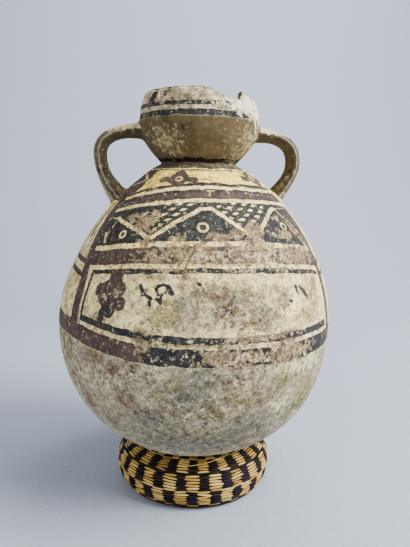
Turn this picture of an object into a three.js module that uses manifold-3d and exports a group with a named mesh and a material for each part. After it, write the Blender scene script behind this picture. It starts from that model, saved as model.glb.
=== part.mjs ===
// An ancient two-handled vase: a round-bodied painted clay jar with a cup-shaped mouth and two
// strap handles, standing in a twined fibre ring because its bottom is round.
// Units are millimetres. +Z is up, the origin is on the surface it stands on, under the mouth,
// and the handles lie along X. A direction round the vase is an angle from the front, -Y, towards +X.
import * as THREE from "three";
import { mergeVertices } from "three/addons/utils/BufferGeometryUtils.js";
import Module from "manifold-3d";

// The fibre ring.
const ringOuterRadius = 62.6; // at its widest
const ringTubeWidth = 36; // from its hole to its outside
const ringHeight = 35;
const ringSoleWidth = 18; // the flat underside that it stands on
const stitchesRound = 44; // light and dark stitches in one row
const stitchBulge = 0.55; // how far a stitch stands out of the groove beside it
const stitchFoot = 3.5; // the stitches begin this far above the sole

// The jar.
const bellyRadius = 107.8;
const bellyFullness = 2.17; // 2 makes the lower half a true half ball, and more makes it squarer
const seatGap = 0.35; // between the jar and the ring that carries it
const shoulderStart = 105; // degrees up from the bottom, where the flatter shoulder begins
const neckRadius = 29;
const neckRise = 119.8; // from the belly's centre to the foot of the neck
const neckLength = 2.5;
const bellyWall = 6.5;
const throatWall = 6.5;
const floorThickness = 9;

// The cup-shaped mouth.
const cupRadius = 46;
const cupBowlHeight = 29; // from the neck to the widest level
const cupWallHeight = 20.5; // from the widest level to the lip
const lipRadius = 42.8;
const cupWall = 5.5;
const bowlSpring = 12; // how long the bowl keeps the neck's outward slope

// The handles.
const handleThickness = 8.6;
const handleWidth = 18;
const handleReach = 76; // from the jar's middle to the handle's centreline
const handleTopBelowWidest = 7; // the upper root under the cup's widest level
const handleTurnDrop = 21; // from the upper root to where the handle runs straight down
const handleRootAngle = 43.2; // degrees round the shoulder from the top, where the lower root sits
const handleRootSink = 5; // how deep each root reaches into the wall
const handleSquareness = 0.66; // of the upper turn: 0.55 is a quarter of an ellipse
const rootFlare = 1.6; // how much wider a handle is at its roots
const rootFlareLength = 0.2; // share of the handle's length over which it flares

// The broken lip: how much of it is lost, in millimetres, at each direction round it.
const wearReach = 20; // how far down the wall the loss is taken up
const lipLosses = [
  { from: -8, to: 36, rampIn: 34, rampOut: 3, depth: 7.6 },
  { from: 33, to: 104, rampIn: 3, rampOut: 30, depth: 3.6 },
  { from: -150, to: -118, rampIn: 14, rampOut: 12, depth: 1.6 },
  { from: 150, to: 172, rampIn: 6, rampOut: 14, depth: 2.2 },
];

// How finely the round forms are divided.
const segmentsRound = 56;
const hollowSegments = 44;
const handleSteps = 20;
const handleSides = 12;
const ringProfileSteps = 15;

const rad = THREE.MathUtils.degToRad;
const wasm = await Module();
wasm.setup();

// Points on an arc in the (radius, height) plane. Angles are in degrees up from straight down.
function arc(centreR, centreZ, radius, from, to, steps) {
  const points = [];
  for (let i = 0; i <= steps; i++) {
    const a = rad(from + ((to - from) * i) / steps);
    points.push(new THREE.Vector2(centreR + radius * Math.sin(a), centreZ - radius * Math.cos(a)));
  }
  return points;
}

// A turned solid about +Z from a (radius, height) outline. Its last column is exactly its first.
function turned(outline, segments) {
  const geometry = new THREE.LatheGeometry(outline, segments).rotateX(Math.PI / 2);
  const p = geometry.attributes.position;
  for (let i = 0; i < outline.length; i++) {
    p.setXYZ(segments * outline.length + i, p.getX(i), p.getY(i), p.getZ(i));
  }
  return geometry;
}

// The ring's section, once round: a rounded top, and a fuller lower half with a flat sole.
const ringHalfWidth = ringTubeWidth / 2;
const ringHalfHeight = ringHeight / 2;
const ringMiddleRadius = ringOuterRadius - ringHalfWidth;

function ringSection(steps) {
  const points = [];
  const soleHalf = ringSoleWidth / 2;
  const fullAbove = 2.1;
  const fullBelow = 2.5; // squarer than an ellipse, as a tube settled under a load is
  for (let i = 0; i < steps; i++) {
    const a = rad(-60 + (300 * i) / (steps - 1));
    const c = Math.cos(a);
    const s = Math.sin(a);
    const power = 2 / (s < 0 ? fullBelow : fullAbove);
    const across = Math.sign(c) * Math.abs(c) ** power * ringHalfWidth;
    const up = Math.sign(s) * Math.abs(s) ** power * ringHalfHeight;
    points.push(new THREE.Vector2(ringMiddleRadius + across, ringHalfHeight + up));
  }
  points[0].set(ringMiddleRadius + soleHalf, 0);
  points[steps - 1].set(ringMiddleRadius - soleHalf, 0);
  return points;
}

// How far below the belly's centre a round bottom of this radius is, at a distance from the axis.
function bottomDepth(radius, distance) {
  return radius * (1 - (distance / radius) ** bellyFullness) ** (1 / bellyFullness);
}

// The height of the belly's centre when the round jar rests on the ring.
function restingHeight(section) {
  const reach = bellyRadius + seatGap + stitchBulge;
  return Math.max(...section.map((p) => p.y + bottomDepth(reach, p.x)));
}

const bellyCentre = restingHeight(ringSection(181));
const neckFoot = bellyCentre + neckRise;
const neckTop = neckFoot + neckLength;
const cupWidest = neckTop + cupBowlHeight;
const lipTop = cupWidest + cupWallHeight;

// The shoulder is an arc that leaves the belly smoothly and meets the foot of the neck.
function shoulderArc() {
  const a = rad(shoulderStart);
  const outward = new THREE.Vector2(Math.sin(a), -Math.cos(a));
  const neck = new THREE.Vector2(neckRadius, neckRise);
  const extra =
    (neck.lengthSq() - bellyRadius * bellyRadius) / (2 * (bellyRadius - neck.dot(outward)));
  return {
    r: -extra * outward.x,
    z: bellyCentre - extra * outward.y,
    radius: bellyRadius + extra,
  };
}
const shoulder = shoulderArc();

// The angle at which the shoulder's arc, at this radius of arc, comes to a distance from the axis.
function shoulderAngleAt(distance, radius) {
  return 180 - THREE.MathUtils.radToDeg(Math.asin((distance - shoulder.r) / radius));
}

// The cup's outside, or its inside when it is drawn in by a wall.
function bowlCurve(inset, throat) {
  const start = new THREE.Vector2(throat, neckTop);
  const widest = new THREE.Vector2(cupRadius - inset, cupWidest);
  return new THREE.CubicBezierCurve(
    start,
    new THREE.Vector2(start.x + bowlSpring * 0.75, start.y + bowlSpring * 0.67),
    new THREE.Vector2(widest.x, widest.y - cupBowlHeight * 0.48),
    widest,
  );
}

function cupWallCurve(inset) {
  return new THREE.QuadraticBezierCurve(
    new THREE.Vector2(cupRadius - inset, cupWidest),
    new THREE.Vector2(cupRadius - inset, cupWidest + cupWallHeight / 2),
    new THREE.Vector2(lipRadius - inset, lipTop - cupWall / 2),
  );
}

// The lip is half a circle from the outer wall over to the inner one.
function lipPoints() {
  const middle = lipRadius - cupWall / 2;
  return arc(middle, lipTop - cupWall / 2, cupWall / 2, 90, 270, 4).slice(1, -1);
}

// The lower half of the belly, or of its hollow, from the bottom out to the widest level.
function lowerBelly(radius, steps) {
  const points = [];
  for (let i = 0; i <= steps; i++) {
    const a = (Math.PI / 2) * (i / steps);
    const s = Math.sin(a);
    const c = Math.cos(a);
    const reach = radius / (s ** bellyFullness + c ** bellyFullness) ** (1 / bellyFullness);
    points.push(new THREE.Vector2(reach * s, bellyCentre - reach * c));
  }
  return points;
}

// The upper belly and the shoulder, from the widest level to a distance from the axis.
function upperBelly(wall, distance, bellySteps, shoulderSteps) {
  const radius = shoulder.radius - wall;
  const end = shoulderAngleAt(distance, radius);
  return [
    ...arc(0, bellyCentre, bellyRadius - wall, 90, shoulderStart, bellySteps).slice(1),
    ...arc(shoulder.r, shoulder.z, radius, shoulderStart, end, shoulderSteps).slice(1),
  ];
}

function outerOutline() {
  return [
    ...lowerBelly(bellyRadius, 12),
    ...upperBelly(0, neckRadius, 2, 7),
    ...bowlCurve(0, neckRadius).getPoints(6),
    ...cupWallCurve(0).getPoints(3).slice(1),
  ];
}

// The inside, from the bottom up, with the walls' thickness taken off.
function innerOutline() {
  const throat = neckRadius - throatWall;
  const rise = floorThickness - bellyWall;
  const bottom = lowerBelly(bellyRadius - bellyWall, 8);
  bottom[0].y += rise;
  bottom[1].y += rise * 0.7;
  return [
    ...bottom,
    ...upperBelly(bellyWall, throat, 1, 5),
    ...bowlCurve(cupWall, throat).getPoints(5),
    ...cupWallCurve(cupWall).getPoints(2).slice(1),
  ];
}

// How much of the lip is lost in a direction, in millimetres.
function lipLoss(direction) {
  const ramp = (x) => THREE.MathUtils.smoothstep(x, 0, 1);
  let loss = 0;
  for (const l of lipLosses) {
    const inward = ramp((direction - l.from) / l.rampIn);
    const outward = ramp((l.to - direction) / l.rampOut);
    loss = Math.max(loss, l.depth * inward * outward);
  }
  return loss;
}

// Lowers the lip where it is broken. The loss fades out down the wall.
function wearLip(geometry) {
  const p = geometry.attributes.position;
  for (let i = 0; i < p.count; i++) {
    const depth = THREE.MathUtils.clamp(1 - (lipTop - p.getZ(i)) / wearReach, 0, 1);
    if (depth <= 0) continue;
    const direction = THREE.MathUtils.radToDeg(Math.atan2(p.getX(i), -p.getY(i)));
    p.setZ(i, p.getZ(i) - depth * lipLoss(direction));
  }
  return geometry;
}

// The right-hand handle's centreline: out from the cup, round and down, and in to the shoulder.
function handlePath() {
  const topZ = cupWidest - handleTopBelowWidest;
  const turnZ = topZ - handleTurnDrop;
  const rootAngle = rad(180 - handleRootAngle);
  const rootIn = new THREE.Vector3(
    shoulder.r + (shoulder.radius - handleRootSink) * Math.sin(rootAngle),
    0,
    shoulder.z - (shoulder.radius - handleRootSink) * Math.cos(rootAngle),
  );
  const start = new THREE.Vector3(cupRadius - handleRootSink, 0, topZ);
  const turn = new THREE.Vector3(handleReach, 0, turnZ);
  const drop = turnZ - rootIn.z;
  const path = new THREE.CurvePath();
  path.add(
    new THREE.CubicBezierCurve3(
      start,
      new THREE.Vector3(start.x + (turn.x - start.x) * handleSquareness, 0, topZ),
      new THREE.Vector3(turn.x, 0, turnZ + handleTurnDrop * handleSquareness),
      turn,
    ),
  );
  path.add(
    new THREE.CubicBezierCurve3(
      turn,
      new THREE.Vector3(turn.x, 0, turnZ - drop * 0.42),
      new THREE.Vector3(rootIn.x + drop * 0.22, 0, rootIn.z + drop * 0.36),
      rootIn,
    ),
  );
  return path;
}

// A rounded strap swept along a path in the XZ plane, wider at both ends.
function strap(path) {
  const positions = [];
  const index = [];
  const side = new THREE.Vector3(0, 1, 0);
  for (let i = 0; i <= handleSteps; i++) {
    const t = i / handleSteps;
    const middle = path.getPointAt(t);
    const normal = new THREE.Vector3().crossVectors(side, path.getTangentAt(t)).normalize();
    const nearEnd = Math.max(0, 1 - Math.min(t, 1 - t) / rootFlareLength);
    const flare = 1 + (rootFlare - 1) * nearEnd * nearEnd;
    for (let k = 0; k < handleSides; k++) {
      const a = (2 * Math.PI * k) / handleSides;
      const c = Math.cos(a);
      const s = Math.sin(a);
      const across = (Math.sign(c) * Math.abs(c) ** 0.8 * handleThickness * flare) / 2;
      const along = (Math.sign(s) * Math.abs(s) ** 0.8 * handleWidth * flare) / 2;
      const p = middle.clone().addScaledVector(normal, across).addScaledVector(side, along);
      positions.push(p.x, p.y, p.z);
      if (i === handleSteps) continue;
      const here = i * handleSides + k;
      const next = i * handleSides + ((k + 1) % handleSides);
      index.push(here, next, here + handleSides, next, next + handleSides, here + handleSides);
    }
  }
  const last = handleSteps * handleSides;
  for (let k = 1; k < handleSides - 1; k++) {
    index.push(0, k + 1, k, last, last + k, last + k + 1);
  }
  const geometry = new THREE.BufferGeometry();
  geometry.setAttribute("position", new THREE.Float32BufferAttribute(positions, 3));
  geometry.setIndex(index);
  return geometry;
}

// A closed geometry as a manifold solid, facing out whichever way it was wound.
function solid(geometry) {
  const bare = geometry.clone();
  bare.deleteAttribute("normal");
  bare.deleteAttribute("uv");
  const merged = mergeVertices(bare, 1e-4);
  const triVerts = new Uint32Array(merged.index.array);
  const vertProperties = new Float32Array(merged.attributes.position.array);
  const made = new wasm.Manifold(new wasm.Mesh({ numProp: 3, vertProperties, triVerts }));
  if (made.volume() > 0) return made;
  const turnedRound = triVerts.map((v, i) => triVerts[i - (i % 3) + [0, 2, 1][i % 3]]);
  return new wasm.Manifold(new wasm.Mesh({ numProp: 3, vertProperties, triVerts: turnedRound }));
}

function geometryOf(manifold) {
  const m = manifold.getMesh();
  const positions = new Float32Array(m.vertProperties);
  const geometry = new THREE.BufferGeometry();
  geometry.setAttribute("position", new THREE.BufferAttribute(positions, 3));
  geometry.setIndex(new THREE.BufferAttribute(m.triVerts, 1));
  geometry.computeVertexNormals();
  return geometry;
}

// The clay is one piece: the hollow turned jar and both handles, with the handles kept outside it.
function vaseGeometry() {
  const lip = lipPoints();
  const axisTop = new THREE.Vector2(0, lipTop - cupWall / 2);
  const full = wearLip(turned([...outerOutline(), ...lip, axisTop], segmentsRound));
  const hollowTop = new THREE.Vector2(lipRadius - cupWall, lipTop + cupWall);
  const hollow = wearLip(
    turned([...innerOutline(), hollowTop, new THREE.Vector2(0, hollowTop.y)], hollowSegments),
  );
  const right = solid(strap(handlePath()));
  const left = right.mirror([1, 0, 0]);
  return geometryOf(solid(full).add(right).add(left).subtract(solid(hollow)));
}

// The ring: its section turned about the axis, with a groove between each stitch and the next.
function ringGeometry() {
  const section = ringSection(ringProfileSteps);
  section.push(section[0].clone());
  const geometry = turned(section, stitchesRound * 2);
  const p = geometry.attributes.position;
  const middle = new THREE.Vector2(ringMiddleRadius, ringHalfHeight);
  const perTurn = section.length;
  for (let i = 0; i < p.count; i++) {
    const column = Math.floor(i / perTurn) % (stitchesRound * 2);
    const onStitch = column % 2 === 0;
    if (!onStitch || p.getZ(i) < stitchFoot) continue;
    const r = Math.hypot(p.getX(i), p.getY(i));
    const out = new THREE.Vector2(r, p.getZ(i)).sub(middle).normalize();
    const k = (r + out.x * stitchBulge) / r;
    p.setXYZ(i, p.getX(i) * k, p.getY(i) * k, p.getZ(i) + out.y * stitchBulge);
  }
  return geometryOf(solid(geometry));
}

const clay = new THREE.MeshStandardMaterial({ color: 0xb3a182, roughness: 0.9, metalness: 0 });
const fibre = new THREE.MeshStandardMaterial({ color: 0x8f7440, roughness: 0.75, metalness: 0 });

const part = new THREE.Group();

const vase = new THREE.Mesh(vaseGeometry(), clay);
vase.name = "vase";
part.add(vase);

const ring = new THREE.Mesh(ringGeometry(), fibre);
ring.name = "woven_ring";
part.add(ring);

export default part;
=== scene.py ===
import math

import bpy
import numpy as np
from mathutils import Matrix, Vector
from mathutils.kdtree import KDTree


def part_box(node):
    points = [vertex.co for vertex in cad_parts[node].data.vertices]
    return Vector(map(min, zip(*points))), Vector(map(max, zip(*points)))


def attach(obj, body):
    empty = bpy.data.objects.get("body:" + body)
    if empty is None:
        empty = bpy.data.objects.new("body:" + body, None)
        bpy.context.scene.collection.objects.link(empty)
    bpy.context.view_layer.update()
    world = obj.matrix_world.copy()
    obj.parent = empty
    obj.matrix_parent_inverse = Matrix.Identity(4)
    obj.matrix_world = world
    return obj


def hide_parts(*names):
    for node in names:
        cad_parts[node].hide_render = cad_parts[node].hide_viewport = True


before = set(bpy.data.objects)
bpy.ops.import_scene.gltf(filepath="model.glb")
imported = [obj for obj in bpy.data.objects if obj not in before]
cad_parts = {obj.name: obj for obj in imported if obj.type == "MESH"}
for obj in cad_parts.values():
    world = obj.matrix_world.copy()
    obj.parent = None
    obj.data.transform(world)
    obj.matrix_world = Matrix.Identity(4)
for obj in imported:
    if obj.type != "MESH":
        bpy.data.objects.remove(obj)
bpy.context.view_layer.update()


vaseLow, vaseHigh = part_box("vase")
ringLow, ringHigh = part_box("woven_ring")
mm = 0.001


def pickOnly(*things):
    if bpy.context.mode != "OBJECT":
        bpy.ops.object.mode_set(mode="OBJECT")
    bpy.ops.object.select_all(action="DESELECT")
    for thing in things:
        thing.select_set(True)
    if things:
        bpy.context.view_layer.objects.active = things[-1]


def applyModifier(thing, kind, **settings):
    pickOnly(thing)
    modifier = thing.modifiers.new(kind.lower(), kind)
    for key, value in settings.items():
        setattr(modifier, key, value)
    bpy.ops.object.modifier_apply(modifier=modifier.name)


def mergeAndFaceOut(threshold):
    bpy.ops.mesh.select_all(action="SELECT")
    bpy.ops.mesh.remove_doubles(threshold=threshold)
    bpy.ops.mesh.normals_make_consistent(inside=False)
    bpy.ops.object.mode_set(mode="OBJECT")


def pointsOf(mesh):
    flat = np.empty(len(mesh.vertices) * 3)
    mesh.vertices.foreach_get("co", flat)
    return flat.reshape(-1, 3)


def movePoints(mesh, points):
    mesh.vertices.foreach_set("co", points.astype(np.float32).ravel())
    mesh.update()


def addField(mesh, name, values):
    field = mesh.attributes.new(name, "FLOAT", "POINT")
    field.data.foreach_set("value", values.astype(np.float32))


def smoothStep(low, high, x):
    # 0 below low, 1 above high; the other way round where low is the greater
    t = np.clip((np.asarray(x, float) - low) / (high - low), 0, 1)
    return t * t * (3 - 2 * t)


def arcPoints(centreR, centreZ, radius, start, end, steps):
    # degrees up from straight down, in the (radius, height) plane
    a = np.radians(np.linspace(start, end, steps))
    return np.column_stack([centreR + radius * np.sin(a), centreZ - radius * np.cos(a)])


def bezierPoints(corners, steps):
    t = np.linspace(0, 1, steps)[:, None]
    corners = [np.array(c, float) for c in corners]
    while len(corners) > 1:
        corners = [a + (b - a) * t for a, b in zip(corners, corners[1:])]
    return corners[0]


def respaced(outline, spacingAt):
    # the same outline with its points set apart as spacingAt(points) says
    step = np.hypot(*np.diff(outline, axis=0).T)
    middles = (outline[1:] + outline[:-1]) / 2
    reached = np.concatenate([[0], np.cumsum(step / spacingAt(middles))])
    wanted = np.linspace(0, reached[-1], int(round(reached[-1])) + 1)
    return np.column_stack([np.interp(wanted, reached, outline[:, k]) for k in (0, 1)])


def spunFromOutline(name, outline, columns, closed=False):
    # one point drawn out along the outline in the XZ plane, then spun round Z
    r, z = outline[0] * mm
    pickOnly()
    bpy.ops.mesh.primitive_plane_add(size=mm, location=(r, 0, z))
    thing = bpy.context.object
    thing.name = name
    bpy.ops.object.transform_apply(location=True, rotation=True, scale=True)
    bpy.ops.object.mode_set(mode="EDIT")
    bpy.ops.mesh.select_all(action="SELECT")
    bpy.ops.mesh.merge(type="CENTER")
    for dr, dz in np.diff(outline, axis=0) * mm:
        bpy.ops.mesh.extrude_region_move(TRANSFORM_OT_translate={"value": (dr, 0, dz)})
    bpy.ops.mesh.select_all(action="SELECT")
    if closed:
        bpy.ops.mesh.remove_doubles(threshold=1e-5)
    bpy.ops.mesh.spin(steps=columns, angle=2 * math.pi, center=(0, 0, 0), axis=(0, 0, 1))
    mergeAndFaceOut(2e-6)
    return thing


def tubeAlong(name, places, radii, **settings):
    # a curve through the places, thicker and thinner as the radii say, turned into a mesh
    pickOnly()
    bpy.ops.curve.primitive_bezier_curve_add()
    bpy.ops.object.transform_apply(location=True)
    tube = bpy.context.object
    tube.name = name
    tube.data.splines.clear()
    spline = tube.data.splines.new("POLY")
    spline.points.add(len(places) - 1)
    for point, place, radius in zip(spline.points, places, radii):
        point.co = (*place, 1)
        point.radius = radius
    tube.data.dimensions = "3D"
    tube.data.use_fill_caps = True
    for key, value in settings.items():
        setattr(tube.data, key, value)
    pickOnly(tube)
    bpy.ops.object.convert(target="MESH")
    bpy.ops.object.mode_set(mode="EDIT")
    return bpy.context.object


# the clay jar, mm
jar = {
    "bellyRadius": 107.8,
    "bellyFullness": 2.17,
    "shoulderStart": 105,      # degrees up from the bottom
    "neckRadius": 29,
    "neckRise": 119.8,
    "neckLength": 2.5,
    "neckDip": 1.9,            # the bowl's slope runs down nearly to the shoulder
    "bellyWall": 6.5,
    "throatWall": 6.5,
    "floorRise": 2.5,
    "cupRadius": 46,
    "cupBowlHeight": 29,
    "cupWallHeight": 20.5,
    "lipRadius": 42.8,
    "cupWall": 5.5,
    "columns": 360,
    "plainSpacing": 4.0,       # mm between rows where nothing is painted
    "paintedSpacing": 1.6,
    "insideSpacing": 6.0,
}
bellyCentre = vaseLow.z / mm + jar["bellyRadius"]
neckFoot = bellyCentre + jar["neckRise"]
neckTop = neckFoot + jar["neckLength"]
cupWidest = neckTop + jar["cupBowlHeight"]
lipTop = cupWidest + jar["cupWallHeight"]


def shoulderCircle():
    a = math.radians(jar["shoulderStart"])
    outward = np.array([math.sin(a), -math.cos(a)])
    neck = np.array([jar["neckRadius"], jar["neckRise"]])
    extra = (neck @ neck - jar["bellyRadius"] ** 2) / (2 * (jar["bellyRadius"] - neck @ outward))
    return -extra * outward[0], bellyCentre - extra * outward[1], jar["bellyRadius"] + extra


shoulderR, shoulderZ, shoulderRadius = shoulderCircle()


def bellyOutline(radius, wall, end):
    # from the bottom out to the widest level and in over the shoulder to a distance from the axis
    a = np.linspace(0, math.pi / 2, 260)
    n = jar["bellyFullness"]
    reach = radius / (np.sin(a) ** n + np.cos(a) ** n) ** (1 / n)
    lower = np.column_stack([reach * np.sin(a), bellyCentre - reach * np.cos(a)])
    upper = arcPoints(0, bellyCentre, radius, 90, jar["shoulderStart"], 40)
    big = shoulderRadius - wall
    last = 180 - math.degrees(math.asin((end - shoulderR) / big))
    shoulder = arcPoints(shoulderR, shoulderZ, big, jar["shoulderStart"], last, 200)
    return np.vstack([lower, upper[1:], shoulder[1:]])


def cupOutline(inset, throat):
    widest = jar["cupRadius"] - inset
    foot = neckTop - jar["neckDip"]
    bowl = bezierPoints([(throat, foot), (throat + 9, foot + 9.5),
                         (widest, cupWidest - 0.48 * jar["cupBowlHeight"]), (widest, cupWidest)], 80)
    wall = bezierPoints([(widest, cupWidest), (widest, cupWidest + jar["cupWallHeight"] / 2),
                         (jar["lipRadius"] - inset, lipTop - jar["cupWall"] / 2)], 60)
    return np.vstack([bowl, wall[1:]])


def jarOutline():
    outer = np.vstack([bellyOutline(jar["bellyRadius"], 0, jar["neckRadius"]),
                       cupOutline(0, jar["neckRadius"])])
    outer = respaced(outer, lambda p: np.where(p[:, 1] < 122, jar["plainSpacing"], jar["paintedSpacing"]))
    half = jar["cupWall"] / 2
    lip = arcPoints(jar["lipRadius"] - half, lipTop - half, half, 90, 270, 9)[1:-1]
    throat = jar["neckRadius"] - jar["throatWall"]
    inner = np.vstack([bellyOutline(jar["bellyRadius"] - jar["bellyWall"], jar["bellyWall"], throat),
                       cupOutline(jar["cupWall"], throat)])
    rise = np.clip(1 - inner[:, 0] / 40, 0, 1) * (inner[:, 1] < bellyCentre)
    inner[:, 1] += jar["floorRise"] * rise
    inner = respaced(inner, lambda p: np.where(p[:, 1] < neckFoot, jar["insideSpacing"], 3.0))
    whole = np.vstack([outer, lip, inner[::-1]])
    whole[0, 0] = whole[-1, 0] = 0
    return outer, whole


outerOutline, wholeOutline = jarOutline()
vase = spunFromOutline("vase_clay", wholeOutline, jar["columns"])
print("jar turned:", len(vase.data.polygons), "faces")


# the two strap handles, mm
handle = {
    "thickness": 10.2,
    "width": 18,
    "topBelowWidest": 7,
    "turnDrop": 21,
    "rootSink": 5,
    "squareness": 0.7,
    "topFlare": 1.45,
    "flareShare": 0.24,
    "sides": 40,
    "steps": 60,
    "ribDepth": 0.5,           # the lengthwise grooves that the potter's fingers left
    "luteReach": 5.5,          # how far the clay is smoothed round each root, mm
    "lutePasses": 14,
}
# the left handle lands lower and spreads more than the right one
handleSides = {
    "right": {"side": 1, "reach": 76.0, "rootAngle": 43.4, "footFlare": 1.5},
    "left": {"side": -1, "reach": 76.6, "rootAngle": 44.6, "footFlare": 1.95},
}


def handleLine(reach, rootAngle):
    topZ = cupWidest - handle["topBelowWidest"]
    turnZ = topZ - handle["turnDrop"]
    a = math.radians(180 - rootAngle)
    deep = shoulderRadius - handle["rootSink"]
    rootX, rootZ = shoulderR + deep * math.sin(a), shoulderZ - deep * math.cos(a)
    startX, k, drop = jar["cupRadius"] - handle["rootSink"], handle["squareness"], turnZ - rootZ
    upper = bezierPoints([(startX, topZ), (startX + (reach - startX) * k, topZ),
                          (reach, turnZ + handle["turnDrop"] * k), (reach, turnZ)], 200)
    lower = bezierPoints([(reach, turnZ), (reach, turnZ - drop * 0.42),
                          (rootX + drop * 0.22, rootZ + drop * 0.36), (rootX, rootZ)], 200)
    line = np.vstack([upper, lower[1:]])
    length = np.hypot(*np.diff(line, axis=0).T).sum()
    return respaced(line, lambda p: np.full(len(p), length / handle["steps"]))


def strapSection():
    # a flat rounded strap with shallow grooves along both edges and its back
    bpy.ops.mesh.primitive_circle_add(vertices=handle["sides"], radius=1)
    section = bpy.context.object
    for v in section.data.vertices:
        a = math.atan2(v.co.y, v.co.x)
        c, s = math.cos(a), math.sin(a)
        groove = handle["ribDepth"] * (0.5 - 0.5 * math.cos(8 * a))
        x = math.copysign(abs(c) ** 0.8, c) * (handle["thickness"] / 2 - groove * 0.6)
        y = math.copysign(abs(s) ** 0.8, s) * (handle["width"] / 2 - groove)
        v.co = (y * mm, x * mm, 0)
    pickOnly(section)
    bpy.ops.object.convert(target="CURVE")
    return bpy.context.object


def makeHandle(name, side, reach, rootAngle, footFlare):
    line = handleLine(reach, rootAngle)
    section = strapSection()
    share = np.linspace(0, 1, len(line))
    nearTop = np.clip(1 - share / handle["flareShare"], 0, 1)
    nearFoot = np.clip(1 - (1 - share) / (1.4 * handle["flareShare"]), 0, 1)
    flare = 1 + (handle["topFlare"] - 1) * nearTop ** 2 + (footFlare - 1) * nearFoot ** 1.7
    places = [(side * x, 0, z) for x, z in line * mm]
    strap = tubeAlong(name, places, flare, twist_mode="MINIMUM", bevel_mode="OBJECT", bevel_object=section)
    mergeAndFaceOut(1e-5)
    bpy.data.objects.remove(section)
    return strap


def joinHandles():
    for name, sizes in handleSides.items():
        strap = makeHandle(name + "Strap", **sizes)
        applyModifier(vase, "BOOLEAN", operation="UNION", solver="EXACT", object=strap)
        bpy.data.objects.remove(strap)


def signedFrom(line, r, z):
    # distance from a line of (radius, height) points: positive to the right of its run
    nearest = np.full(len(r), 1e9)
    signed = np.zeros(len(r))
    for (r0, z0), (r1, z1) in zip(line, line[1:]):
        dr, dz = r1 - r0, z1 - z0
        t = np.clip(((r - r0) * dr + (z - z0) * dz) / (dr * dr + dz * dz), 0, 1)
        awayR, awayZ = r - r0 - t * dr, z - z0 - t * dz
        distance = np.hypot(awayR, awayZ)
        closer = distance < nearest
        signed = np.where(closer, np.sign(awayR * dz - awayZ * dr) * distance, signed)
        nearest = np.where(closer, distance, nearest)
    return signed


def outsideOfJar(points):
    return signedFrom(outerOutline, np.hypot(points[:, 0], points[:, 1]), points[:, 2])


def outOnStrap(points):
    # how far each point lies to the outer side of its handle's middle line
    out = [-signedFrom(handleLine(sizes["reach"], sizes["rootAngle"]), np.abs(points[:, 0]), points[:, 2])
           for sizes in handleSides.values()]
    return np.where(points[:, 0] > 0, out[0], out[1])


def luteRoots():
    # clay smoothed into the corner where each handle meets the wall
    points = pointsOf(vase.data) / mm
    off = outsideOfJar(points)
    ends = np.zeros(len(vase.data.edges) * 2, int)
    vase.data.edges.foreach_get("vertices", ends)
    ends = ends.reshape(-1, 2)
    onJar = np.abs(off) < 0.06
    onStrap = (off > 0.06) & (np.abs(points[:, 0]) > 30)
    crossing = (onJar[ends[:, 0]] & onStrap[ends[:, 1]]) | (onJar[ends[:, 1]] & onStrap[ends[:, 0]])
    seam = np.unique(ends[crossing])
    seam = seam[onJar[seam]]
    tree = KDTree(len(seam))
    for k, v in enumerate(seam):
        tree.insert(points[v], k)
    tree.balance()
    near = (np.abs(points[:, 0]) > 25) & (points[:, 2] > 190) & (off > -1)
    picked = [v for v in np.nonzero(near)[0] if tree.find(points[v])[2] < handle["luteReach"]]
    pickOnly(vase)
    flags = np.zeros(len(points), bool)
    flags[picked] = True
    vase.data.polygons.foreach_set("select", np.zeros(len(vase.data.polygons), bool))
    vase.data.edges.foreach_set("select", flags[ends[:, 0]] & flags[ends[:, 1]])
    vase.data.vertices.foreach_set("select", flags)
    bpy.ops.object.mode_set(mode="EDIT")
    bpy.ops.mesh.select_mode(type="VERT")
    bpy.ops.mesh.vertices_smooth(factor=0.5, repeat=handle["lutePasses"])
    bpy.ops.object.mode_set(mode="OBJECT")
    return off


joinHandles()
offJar = luteRoots()
strapOut = outOnStrap(pointsOf(vase.data) / mm)
print("handles luted on:", len(vase.data.vertices), "points")


# wear and hand-made unevenness of the clay, mm and degrees round the jar
wear = {
    "reach": 20,
    "losses": [(-8, 41, 36, 4, 6.4), (36, 104, 4, 30, 3.6), (-150, -118, 14, 12, 1.6),
               (150, 172, 6, 14, 2.2)],   # from, to, ramp in, ramp out, depth
    "jagged": 0.55,
    "bellyShift": -1.3,        # the belly sits a little to the left of its mouth and foot
    "lumps": 0.45,
    # height, and how far the wall sits in at the left there: that shoulder is less full
    "leftIn": [(80, 0), (120, 0.5), (140, 0.8), (148, 1.4), (160, 2.0), (172, 3.2), (188, 4.6), (203, 4.9),
               (219, 5.1), (230, 5.2), (240, 4.2), (246, 3.2), (251, 1.2), (254, 0)],
    "strapIn": [(230, 5.2), (240, 4.0), (250, 2.7), (260, 1.3), (270, 0.3), (276, 0)],
    "rightIn": 0.7,
}


def lipLoss(direction):
    loss = np.zeros_like(direction)
    for start, end, rampIn, rampOut, depth in wear["losses"]:
        here = depth * smoothStep(0, 1, (direction - start) / rampIn) \
            * smoothStep(0, 1, (end - direction) / rampOut)
        loss = np.maximum(loss, here)
    jag = sum(k * np.sin(np.radians(n * direction) + n) for n, k in
              ((13, 0.5), (23, 0.4), (41, 0.35), (67, 0.3), (97, 0.2)))
    notch = 1.0 * np.exp(-((direction - 35) / 2.2) ** 2) - 2.4 * np.exp(-((direction - 39.5) / 3) ** 2)
    return loss + wear["jagged"] * jag * (0.35 + np.clip(loss / 2, 0, 1)) + notch


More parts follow.
